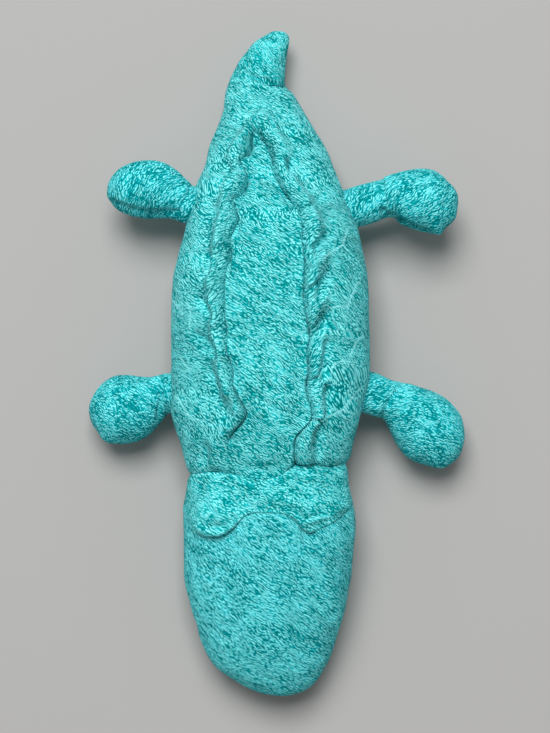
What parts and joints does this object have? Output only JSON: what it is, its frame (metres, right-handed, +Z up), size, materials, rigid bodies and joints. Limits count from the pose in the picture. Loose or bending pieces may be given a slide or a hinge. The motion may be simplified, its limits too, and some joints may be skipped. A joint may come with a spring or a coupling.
{
  "type": "stuffed toy crocodile",
  "caption": "Soft stuffed crocodile in marled knit, lying on its belly, with gathered ridges along the back, a curled tail and round paws.",
  "frame": {"origin": "middle of the flat that the belly rests on", "axes": "+Z up, +Y along the body toward the tail, +X toward the animal's left"},
  "size_m": [0.1824, 0.3185, 0.0641],
  "materials": {
    "knit": "matte marled jersey knit",
    "knit_snout": "matte marled jersey knit",
    "knit_pale": "matte marled jersey knit",
    "knit_ridge": "matte marled jersey knit",
    "stuffing": "loose white fibre"
  },
  "bodies": {
    "torso": {"back_panel": "knit", "left_flank": "knit", "right_flank": "knit", "belly_panel": "knit", "left_ridge": "knit_ridge", "right_ridge": "knit_ridge", "body_stuffing": "stuffing"},
    "head": {"crown_panel": "knit", "left_eye_bump": "knit", "right_eye_bump": "knit", "snout_panel": "knit_snout", "chin_panel": "knit_snout", "head_stuffing": "stuffing"},
    "tail": {"tail_cover": "knit_pale", "tail_stuffing": "stuffing"},
    "front_left_leg": {"front_left_leg_cover": "knit", "front_left_leg_stuffing": "stuffing"},
    "front_right_leg": {"front_right_leg_cover": "knit", "front_right_leg_stuffing": "stuffing"},
    "hind_left_leg": {"hind_left_leg_cover": "knit", "hind_left_leg_stuffing": "stuffing"},
    "hind_right_leg": {"hind_right_leg_cover": "knit", "hind_right_leg_stuffing": "stuffing"}
  },
  "joints": [
    {"name": "neck_bend", "type": "hinge", "parent": "torso", "child": "head", "pos_m": [-0.00096, -0.07257, 0.027], "axis": [-1, 0, 0], "range_deg": [-15, 20], "stiffness_Nm_per_rad": 0.35},
    {"name": "tail_wag", "type": "hinge", "parent": "torso", "child": "tail", "pos_m": [-0.00573, 0.12293, 0.0155], "axis": [0, 0, 1], "range_deg": [-30, 30], "stiffness_Nm_per_rad": 0.03},
    {"name": "front_left_leg_swing", "type": "hinge", "parent": "torso", "child": "front_left_leg", "pos_m": [0.04993, -0.0259, 0.0255], "axis": [0, 0, -1], "range_deg": [-30, 30], "stiffness_Nm_per_rad": 0.02},
    {"name": "front_right_leg_swing", "type": "hinge", "parent": "torso", "child": "front_right_leg", "pos_m": [-0.05163, -0.02627, 0.0255], "axis": [0, 0, 1], "range_deg": [-30, 30], "stiffness_Nm_per_rad": 0.02},
    {"name": "hind_left_leg_swing", "type": "hinge", "parent": "torso", "child": "hind_left_leg", "pos_m": [0.04374, 0.06366, 0.0285], "axis": [0, 0, -1], "range_deg": [-30, 30], "stiffness_Nm_per_rad": 0.02},
    {"name": "hind_right_leg_swing", "type": "hinge", "parent": "torso", "child": "hind_right_leg", "pos_m": [-0.04268, 0.06639, 0.0285], "axis": [0, 0, 1], "range_deg": [-30, 30], "stiffness_Nm_per_rad": 0.02}
  ]
}
